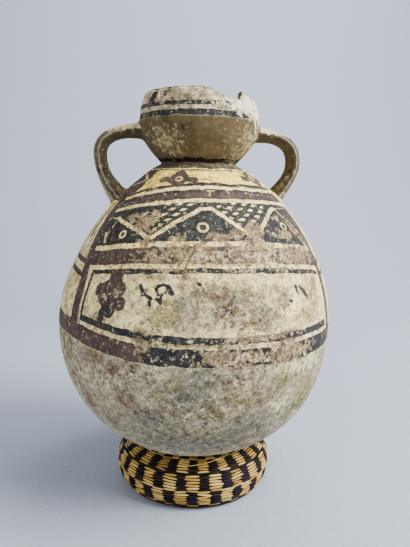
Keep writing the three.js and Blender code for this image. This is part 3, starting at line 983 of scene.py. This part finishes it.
def paintVase():
    # Earthenware under a cream slip, with matt black and purple-brown paint brushed on before firing: chalky and
    # without gloss, with uneven brush edges, flaked and rubbed through to the clay, stained and gritty from the soil.
    addNode = newMaterial("slipped_earthenware_matt_painted", vase)
    names = ("level", "panel", "stripe", "zigzag", "latticeU", "latticeV", "latticeOn", "light", "dark", "brown",
             "rubbed", "purple", "offJar", "strapOut", "fillet", "worn", *weathering)
    field = {name: addNode("Attribute", attribute_name=name).outputs["Fac"] for name in names}
    coords = addNode("TexCoord").outputs["Object"]
    place = addNode("VectorMath", {0: coords, "Scale": 1000.0}, operation="SCALE")
    grain = {}
    for name, (size, detail, rough) in clay["grains"].items():
        noise = addNode("TexNoise", {"Vector": place, "Scale": 1 / size, "Detail": detail, "Roughness": rough})
        grain[name] = addNode("Math", (noise, 0.5), operation="SUBTRACT")
    soft = {}
    for name, spread in (("cloud", 0.14), ("patch", 0.11), ("grit", 0.16), ("flake", 0.14), ("brush", 0.12)):
        soft[name] = addNode("MapRange", {"Value": grain[name], "From Min": -spread, "From Max": spread})

    # brush edges: every field is shaken a little before it is cut, the drawn lines least
    shake = addNode("Math", (grain["brush"], 3.0), operation="MULTIPLY")
    shake = addNode("Math", (grain["flake"], 1.5, shake), operation="MULTIPLY_ADD")
    shaken = {name: addNode("Math", (field[name], shake), operation="ADD")
              for name in ("level", "panel", "stripe", "zigzag", "brown")}
    for name in ("light", "dark"):
        shaken[name] = addNode("Math", (grain["flake"], 1.1, field[name]), operation="MULTIPLY_ADD")

    height = addNode("MapRange", {"Value": shaken["level"], "From Min": rampFrom, "From Max": rampTo})
    ramps = []
    for spans in (darkLevels, lightLevels, neckLevels, footLineAndShadeLevels):
        ramps.append(addNode("ValToRGB", {"Fac": height}))
        fillRamp(ramps[-1].color_ramp, spans)
    darkRamp, lightRamp, neckRamp, footLineAndShadeRamp = ramps

    # light lines keep to the panel, dark bands run on to the side stripes, and two bands run all round
    widen = addNode("MapRange", {"Value": field["level"], "From Min": 216.0, "From Max": 224.0, "To Max": 9.0})
    panelAt = addNode("Math", (shaken["panel"], widen), operation="ADD")
    inPanel = addNode("Math", (panelAt, 0.0), operation="GREATER_THAN")
    inStripes = addNode("Math", (shaken["stripe"], 0.0), operation="LESS_THAN")
    aboveField = addNode("Math", (field["level"], fieldTop), operation="GREATER_THAN")
    bandsReach = addNode("Math", (inStripes, aboveField), operation="MULTIPLY")
    lowBand = addNode("Math", (shaken["level"], lowBandTop), operation="LESS_THAN")
    neckBand = addNode("Math", (shaken["level"], neckBandFoot), operation="GREATER_THAN")
    banded = inPanel
    for extra in (bandsReach, lowBand, neckBand):
        banded = addNode("Math", (banded, extra), operation="MAXIMUM")
    bands = addNode("Math", (darkRamp, banded), operation="MULTIPLY")
    linesReach = addNode("Math", (inPanel, neckBand), operation="MAXIMUM")
    lines = addNode("Math", (lightRamp, linesReach), operation="MULTIPLY")

    fromStripe = addNode("Math", (shaken["stripe"],), operation="ABSOLUTE")
    stripe = addNode("Math", (fromStripe, design["stripeHalf"]), operation="LESS_THAN")
    for limit, side in ((paintedFrom, "GREATER_THAN"), (paintedTo, "LESS_THAN")):
        within = addNode("Math", (field["level"], limit), operation=side)
        stripe = addNode("Math", (stripe, within), operation="MULTIPLY")
    dark = addNode("Math", (bands, stripe), operation="MAXIMUM")
    for name in ("brown", "dark"):
        inside = addNode("Math", (shaken[name], 0.0), operation="LESS_THAN")
        dark = addNode("Math", (dark, inside), operation="MAXIMUM")

    # light figures left in the dark: zigzag, lattice of squares, small rings, drawn lines
    fromZigzag = addNode("Math", (shaken["zigzag"],), operation="ABSOLUTE")
    figures = addNode("Math", (fromZigzag, 1.45), operation="LESS_THAN")
    squares = field["latticeOn"]
    for axis, half in (("latticeU", 0.24), ("latticeV", 0.21)):
        cell = addNode("Math", (grain["flake"], 0.25, field[axis]), operation="MULTIPLY_ADD")
        cell = addNode("Math", (cell, 0.5), operation="PINGPONG")
        cell = addNode("Math", (cell, half), operation="LESS_THAN")
        squares = addNode("Math", (squares, cell), operation="MULTIPLY")
    squares = addNode("Math", (squares, 0.5), operation="GREATER_THAN")
    figures = addNode("Math", (figures, squares), operation="MAXIMUM")
    for limit, side in ((figuresFrom, "GREATER_THAN"), (figuresTo, "LESS_THAN")):
        within = addNode("Math", (field["level"], limit), operation=side)
        figures = addNode("Math", (figures, within), operation="MULTIPLY")
    figures = addNode("Math", (figures, inPanel), operation="MULTIPLY")
    ringlets = 30.0
    for angle, high, radius, half in design["ringlets"]:
        off = np.abs(turned(surfaceRound - angle)) * 1.4 + np.abs(settled[:, 2] - high) + 50 * (np.abs(offJar) > 0.3)
        away = addNode("VectorMath", {0: place, 1: tuple(settled[np.argmin(off)])}, operation="DISTANCE")
        away = addNode("Math", (away, radius), operation="SUBTRACT")
        away = addNode("Math", (away,), operation="ABSOLUTE")
        away = addNode("Math", (away, half), operation="SUBTRACT")
        ringlets = addNode("Math", (ringlets, away), operation="MINIMUM")
    ringlets = addNode("Math", (grain["flake"], 0.9, ringlets), operation="MULTIPLY_ADD")
    for shape in (ringlets, shaken["light"]):
        inside = addNode("Math", (shape, 0.0), operation="LESS_THAN")
        figures = addNode("Math", (figures, inside), operation="MAXIMUM")
    figures = addNode("Math", (figures, lines), operation="MAXIMUM")

    # rubbed places have ragged edges, and small flakes are gone everywhere
    rub = addNode("Math", (grain["flake"], 3.2, field["rubbed"]), operation="MULTIPLY_ADD")
    rub = addNode("Math", (grain["sand"], 1.5, rub), operation="MULTIPLY_ADD")
    rubbedAway = addNode("Math", (rub, 0.12), operation="GREATER_THAN")
    flaked = addNode("Math", (grain["pin"], 0.235), operation="GREATER_THAN")
    gone = addNode("Math", (rubbedAway, flaked), operation="MAXIMUM")
    kept = addNode("Math", (1.0, gone), operation="SUBTRACT")
    onHandle = addNode("Math", (field["offJar"], 0.7), operation="GREATER_THAN")
    insideJar = addNode("Math", (field["offJar"], -2.0), operation="LESS_THAN")
    offWall = addNode("Math", (onHandle, insideJar), operation="MAXIMUM")
    onWall = addNode("Math", (1.0, offWall), operation="SUBTRACT")
    kept = addNode("Math", (kept, onWall), operation="MULTIPLY")
    notFigure = addNode("Math", (1.0, figures), operation="SUBTRACT")
    painted = addNode("Math", (dark, notFigure), operation="MULTIPLY")
    painted = addNode("Math", (painted, kept), operation="MULTIPLY")
    figures = addNode("Math", (figures, kept), operation="MULTIPLY")

    # mottled grounds: bare clay at the foot, slip on the belly, a brown wash on the cup, a buff lip
    grounds = {}
    for name, first, second, third in (("body", "bodyGrey", "bodyPale", "bodyBrown"),
                                       ("slip", "slipCream", "slipPale", "slipGrey"),
                                       ("cup", "cupBrown", "cupPale", "cupDark"),
                                       ("lip", "lipPale", "lipGrey", "lipDark")):
        tone = addNode("Mix", {0: soft["flake"], 6: linear(clay[first]), 7: linear(clay[second])},
                       data_type="RGBA")
        weight = addNode("Math", (soft["patch"], soft["brush"]), operation="MULTIPLY")
        grounds[name] = addNode("Mix", {0: weight, 6: tone, 7: linear(clay[third])}, data_type="RGBA")
    above = {}
    for name, low, high in (("slip", 126.5, 131.0), ("fresh", 236.0, 242.0), ("cup", 256.0, 258.0),
                            ("lip", 288.0, 289.6)):
        above[name] = addNode("MapRange", {"Value": shaken["level"], "From Min": low, "From Max": high})
    strapAt = addNode("Math", (grain["flake"], 3.0, field["strapOut"]), operation="MULTIPLY_ADD")
    strapAt = addNode("MapRange", {"Value": strapAt, "From Min": -8.0, "From Max": 8.0})
    # the handle's stripes, darker on the inner side as painted shade
    strap = addNode("ValToRGB", {"Fac": strapAt})
    for out, tone in clay["strap"]:
        stop = strap.color_ramp.elements.new((out + 8) / 16)
        stop.color = linear(tone)
    strap.color_ramp.elements.remove(strap.color_ramp.elements[0])
    strap.color_ramp.elements.remove(strap.color_ramp.elements[-1])

    blackPaint = addNode("Mix", {0: soft["flake"], 6: linear(clay["black"]), 7: linear(clay["greyBlack"])},
                         data_type="RGBA")
    purplePaint = addNode("Mix", {0: soft["brush"], 6: linear(clay["purpleDark"]), 7: linear(clay["purple"])},
                          data_type="RGBA")
    redder = addNode("Math", (soft["cloud"], soft["flake"]), operation="MULTIPLY")
    purplePaint = addNode("Mix", {0: redder, 6: purplePaint, 7: linear(clay["purpleRed"])}, data_type="RGBA")
    paint = addNode("Mix", {0: field["purple"], 6: blackPaint, 7: purplePaint}, data_type="RGBA")
    rubbedTone = addNode("Mix", {0: soft["grit"], 6: linear(clay["rubbedBrown"]),
                                       7: linear(clay["rubbedPale"])}, data_type="RGBA")
    rubbedTone = addNode("Mix", {0: soft["cloud"], 6: rubbedTone, 7: linear(clay["rubbedPink"])},
                         data_type="RGBA")

    colour = grounds["body"]
    fresh = addNode("Math", (above["fresh"], 0.88), operation="MULTIPLY")
    for mask, over in ((above["slip"], grounds["slip"]), (fresh, linear(clay["slipFresh"])),
                       (neckRamp, linear(clay["neck"])),
                       (above["cup"], grounds["cup"]), (above["lip"], grounds["lip"]),
                       # the foot line carries painted shade in the crevice under the bowl as well as its paint
                       (footLineAndShadeRamp, linear(clay["footLineAndCreviceShade"])), (insideJar, grounds["cup"])):
        colour = addNode("Mix", {0: mask, 6: colour, 7: over}, data_type="RGBA")
    for name, tint, most in (("olive", "olive", 0.7), ("greyed", "grey", 0.75), ("paled", "pale", 0.65),
                             ("scuffed", "scuff", 0.8)):
        at = addNode("Math", (grain["flake"], 2.2, field[name]), operation="MULTIPLY_ADD")
        at = addNode("Math", (grain["sand"], 0.8, at), operation="MULTIPLY_ADD")
        at = addNode("MapRange", {"Value": at, "From Min": -0.25, "From Max": 0.35, "To Max": most})
        at = addNode("Math", (at, onWall), operation="MULTIPLY")
        colour = addNode("Mix", {0: at, 6: colour, 7: linear(clay[tint])}, data_type="RGBA")
    belowNeck = addNode("Math", (field["level"], rubbedTop), operation="LESS_THAN")
    rubShow = addNode("Math", (rubbedAway, onWall), operation="MULTIPLY")
    rubShow = addNode("Math", (rubShow, belowNeck), operation="MULTIPLY")
    rubShow = addNode("Math", (rubShow, 0.92), operation="MULTIPLY")
    wornAt = addNode("Math", (grain["flake"], 2.6, field["worn"]), operation="MULTIPLY_ADD")
    wornAt = addNode("MapRange", {"Value": wornAt, "From Min": 0.3, "From Max": 0.8, "To Max": 0.8})
    wornAt = addNode("Math", (wornAt, onHandle), operation="MULTIPLY")
    for mask, over in ((rubShow, rubbedTone), (figures, linear(clay["light"])), (painted, paint),
                       (onHandle, strap), (wornAt, linear(clay["pale"])), (field["fillet"], linear(clay["fillet"]))):
        colour = addNode("Mix", {0: mask, 6: colour, 7: over}, data_type="RGBA")

    # fine grain of the weathered surface, stronger off the paint, then light and dark specks
    onBowl = addNode("Math", (above["cup"], above["lip"]), operation="SUBTRACT")
    uneven = addNode("MapRange", {"Value": onBowl, "To Min": 1.0, "To Max": 0.2})
    rougher = addNode("MapRange", {"Value": painted, "To Min": uneven, "To Max": 0.45})
    grainy = addNode("Math", (grain["sand"], 5.0), operation="MULTIPLY")
    grainy = addNode("Math", (grain["grit"], 1.6, grainy), operation="MULTIPLY_ADD")
    grainy = addNode("Math", (grainy, rougher, 1.0), operation="MULTIPLY_ADD")
    grainy = addNode("Math", (grainy, 0.3), operation="MAXIMUM")
    colour = addNode("VectorMath", {0: colour, "Scale": grainy}, operation="SCALE")
    fleckAt = addNode("Math", (field["flecked"], 0.055, grain["sand"]), operation="MULTIPLY_ADD")
    speckAt = addNode("Math", (field["flecked"], -0.055, grain["pin"]), operation="MULTIPLY_ADD")
    crustAt = addNode("Math", (grain["sand"], 2.5, field["crust"]), operation="MULTIPLY_ADD")
    crustAt = addNode("Math", (grain["flake"], 3.0, crustAt), operation="MULTIPLY_ADD")
    for at, low, high, most, over in ((fleckAt, 0.08, 0.13, 0.6, "fleck"), (speckAt, -0.165, -0.2, 0.75, "speck"),
                                      (crustAt, 0.05, 0.3, 0.95, "crust")):
        mask = addNode("MapRange", {"Value": at, "From Min": low, "From Max": high, "To Max": most})
        if over == "crust":
            crust = mask
        else:
            mask = addNode("Math", (mask, uneven), operation="MULTIPLY")
        colour = addNode("Mix", {0: mask, 6: colour, 7: linear(clay[over])}, data_type="RGBA")

    roughness = addNode("MapRange", {"Value": painted, "To Min": clay["roughClay"], "To Max": clay["roughPaint"]})
    relief = addNode("Math", (grain["flake"], 0.5, grain["sand"]), operation="MULTIPLY_ADD")
    relief = addNode("Math", (crust, 0.6, relief), operation="MULTIPLY_ADD")
    bump = addNode("Bump", {"Strength": 0.55, "Distance": 0.0006, "Height": relief})
    shader = addNode("BsdfPrincipled", {"Base Color": colour, "Roughness": roughness, "Normal": bump,
                                              "IOR": 1.45, "Specular IOR Level": 0.2})
    addNode("OutputMaterial", {"Surface": shader})
    pickOnly(vase)
    bpy.ops.object.shade_smooth()


fibre = {
    # the edge colours are painted shade where the strips dip between their neighbours
    "strawDark": "#a67b34", "strawMid": "#cfa34a", "strawLight": "#eacd7c", "strawEdgeShade": "#412b10",
    "dyedDark": "#07050c", "dyedViolet": "#150e22", "dyedBrown": "#33230f", "dyedEdgeShade": "#030204",
    # near-black so that the foundation reads as painted shade in the gaps between the strips; the foot strand shares
    # these colours
    "coilDark": "#171009", "coilLight": "#3a2a18",
    "strand": 0.22,            # mm between the fibres that show along a strip, coarser than the real ones
}


def weaveFinish(name, things, dark, middle, light, edge, roughness, shine):
    # Split leaf, dried and plaited tight: each strip takes its own tone, shines along its crown and darkens to its
    # edges and ends, a painted shade where it dips between its neighbours, with fine fibres running along it.
    addNode = newMaterial(name, *things)
    field = {n: addNode("Attribute", attribute_name=n).outputs["Fac"] for n in ("tone", "along", "sideways")}
    tones = addNode("ValToRGB", {"Fac": field["tone"]})
    tones.color_ramp.elements[0].color = linear(dark)
    tones.color_ramp.elements[1].color = linear(light)
    tones.color_ramp.elements.new(0.45).color = linear(middle)
    down = addNode("Math", (field["along"], 0.35), operation="MULTIPLY")
    widthways = addNode("Math", (field["sideways"], ring["stitchWide"] / fibre["strand"]),
                        operation="MULTIPLY")
    own = addNode("Math", (field["tone"], 91.0), operation="MULTIPLY")
    place = addNode("CombineXYZ", {"X": down, "Y": widthways, "Z": own})
    fibres = addNode("TexNoise", {"Vector": place, "Scale": 1.0, "Detail": 2.0})
    streak = addNode("MapRange", {"Value": fibres, "From Min": 0.3, "From Max": 0.7, "To Min": 0.7,
                                        "To Max": 1.25})
    colour = addNode("VectorMath", {0: tones, "Scale": streak}, operation="SCALE")
    ends = addNode("Math", (field["along"],), operation="ABSOLUTE")
    sides = addNode("Math", (field["sideways"],), operation="ABSOLUTE")
    # darkening towards the edges and ends is painted shade between neighbouring strips
    for away, low, high in ((ends, 0.8, 1.05), (sides, 0.62, 1.0)):
        mask = addNode("MapRange", {"Value": away, "From Min": low, "From Max": high, "To Max": 0.85})
        colour = addNode("Mix", {0: mask, 6: colour, 7: linear(edge)}, data_type="RGBA")
    bump = addNode("Bump", {"Strength": 0.3, "Distance": 0.0002, "Height": fibres})
    shader = addNode("BsdfPrincipled", {"Base Color": colour, "Roughness": roughness, "Normal": bump,
                                              "IOR": 1.5, "Specular IOR Level": shine})
    addNode("OutputMaterial", {"Surface": shader})


def coilFinish():
    # Bundled grass under the weave, left rough and coloured near-black, partly a painted shade for the gaps between
    # the strips where it shows: dull, with a coarse streak round the ring.
    addNode = newMaterial("bundled_grass_coil", core, footStrand)
    coords = addNode("TexCoord").outputs["Object"]
    place = addNode("VectorMath", {0: coords, "Scale": 1000.0}, operation="SCALE")
    noise = addNode("TexNoise", {"Vector": place, "Scale": 1 / 1.4, "Detail": 3.0})
    weight = addNode("MapRange", {"Value": noise, "From Min": 0.35, "From Max": 0.65})
    colour = addNode("Mix", {0: weight, 6: linear(fibre["coilDark"]), 7: linear(fibre["coilLight"])},
                     data_type="RGBA")
    bump = addNode("Bump", {"Strength": 0.6, "Distance": 0.0008, "Height": noise})
    shader = addNode("BsdfPrincipled", {"Base Color": colour, "Roughness": 0.9, "Normal": bump})
    addNode("OutputMaterial", {"Surface": shader})


paintVase()
weaveFinish("split_palm_leaf_plaited", (straw, looseStrand), fibre["strawDark"], fibre["strawMid"],
            fibre["strawLight"], fibre["strawEdgeShade"], 0.42, 0.35)
weaveFinish("split_palm_leaf_dyed", (dyed,), fibre["dyedDark"], fibre["dyedViolet"], fibre["dyedBrown"],
            fibre["dyedEdgeShade"], 0.5, 0.15)
coilFinish()
print("finishes made")

for thing, node in ((vase, "vase"), (core, "woven_ring"), (straw, None), (dyed, None), (footStrand, None),
                    (looseStrand, None)):
    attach(thing, "root")
    if node:
        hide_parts(node)


# floor, light and camera
studio = {
    "floorHalf": 3.0,
    "wallFrom": 1.5,           # where the floor starts to turn up behind the jar
    "wallHeight": 2.4,
    "sweepRadius": 0.9,
    "paperPale": "#b6bfd0",
    "paperDark": "#aeb7c8",
    # watts, size, place, and where it points
    "key": (44, 0.8, (0.95, -0.55, 1.0), (0, 0, 0.15)),
    "fill": (8, 1.2, (-1.1, -0.9, 0.7), (0, 0, 0.15)),
    "wash": (26, 1.0, (0.5, 0.3, 1.5), (0.4, 1.5, 0.8)),
    "eye": (-0.0596, -0.4198, 0.236),
    "panTiltRoll": (-9, 81.3, 1.2),
    "lens": 36 * 530 / 547,
    "worldGrey": "#e6e4e0",
    "worldStrength": 0.52,
}


def paperFinish(floor):
    # Matt background paper: even and without shine, with the faintest mottle of its pulp.
    addNode = newMaterial("matt_background_paper", floor)
    coords = addNode("TexCoord").outputs["Object"]
    noise = addNode("TexNoise", {"Vector": coords, "Scale": 300.0, "Detail": 3.0})
    weight = addNode("MapRange", {"Value": noise, "From Min": 0.35, "From Max": 0.65})
    colour = addNode("Mix", {0: weight, 6: linear(studio["paperDark"]), 7: linear(studio["paperPale"])},
                     data_type="RGBA")
    shader = addNode("BsdfPrincipled", {"Base Color": colour, "Roughness": 0.85, "Specular IOR Level": 0.2})
    addNode("OutputMaterial", {"Surface": shader})


def makeFloor():
    pickOnly()
    bpy.ops.mesh.primitive_plane_add(size=2 * studio["floorHalf"],
                                     location=(0, studio["wallFrom"] - studio["floorHalf"], 0))
    floor = bpy.context.object
    floor.name = "floor"
    bpy.ops.object.transform_apply(location=True)

    def selectBackEdges(onFloor):
        bpy.ops.object.mode_set(mode="EDIT")
        bpy.ops.mesh.select_mode(type="EDGE")
        bpy.ops.mesh.select_all(action="DESELECT")
        bpy.ops.object.mode_set(mode="OBJECT")
        for edge in floor.data.edges:
            ends = [floor.data.vertices[v].co for v in edge.vertices]
            edge.select = all(p.y > studio["wallFrom"] - 0.01 and (p.z < 0.01 or not onFloor) for p in ends)
        bpy.ops.object.mode_set(mode="EDIT")

    selectBackEdges(False)
    bpy.ops.mesh.extrude_region_move(TRANSFORM_OT_translate={"value": (0, 0, studio["wallHeight"])})
    selectBackEdges(True)
    bpy.ops.mesh.bevel(offset=studio["sweepRadius"], segments=24, affect="EDGES")
    bpy.ops.object.mode_set(mode="OBJECT")
    bpy.ops.object.shade_smooth()
    paperFinish(floor)


def addLamp(name, power, size, place, target):
    bpy.ops.object.light_add(type="AREA", location=place)
    lamp = bpy.context.object
    lamp.name = name
    lamp.data.energy = power
    lamp.data.size = size
    lamp.rotation_euler = (Vector(target) - Vector(place)).to_track_quat("-Z", "Y").to_euler()


def makeStudio():
    makeFloor()
    for name in ("key", "fill", "wash"):
        addLamp(name, *studio[name])
    world = bpy.data.worlds.new("room")
    bpy.context.scene.world = world
    world.use_nodes = True
    back = world.node_tree.nodes["Background"]
    back.inputs["Color"].default_value = linear(studio["worldGrey"])
    back.inputs["Strength"].default_value = studio["worldStrength"]


def makeCamera():
    # where the photograph was taken from: 8.7 degrees down, a little from the left
    bpy.ops.object.camera_add(location=studio["eye"])
    camera = bpy.context.object
    camera.rotation_mode = "QUATERNION"
    pan, tilt, roll = (math.radians(a) for a in studio["panTiltRoll"])
    aim = Matrix.Rotation(pan, 4, "Z") @ Matrix.Rotation(tilt, 4, "X") @ Matrix.Rotation(roll, 4, "Z")
    camera.rotation_quaternion = aim.to_quaternion()
    camera.data.sensor_width = 36
    camera.data.lens = studio["lens"]
    bpy.context.scene.camera = camera


makeStudio()
makeCamera()
print("studio set")
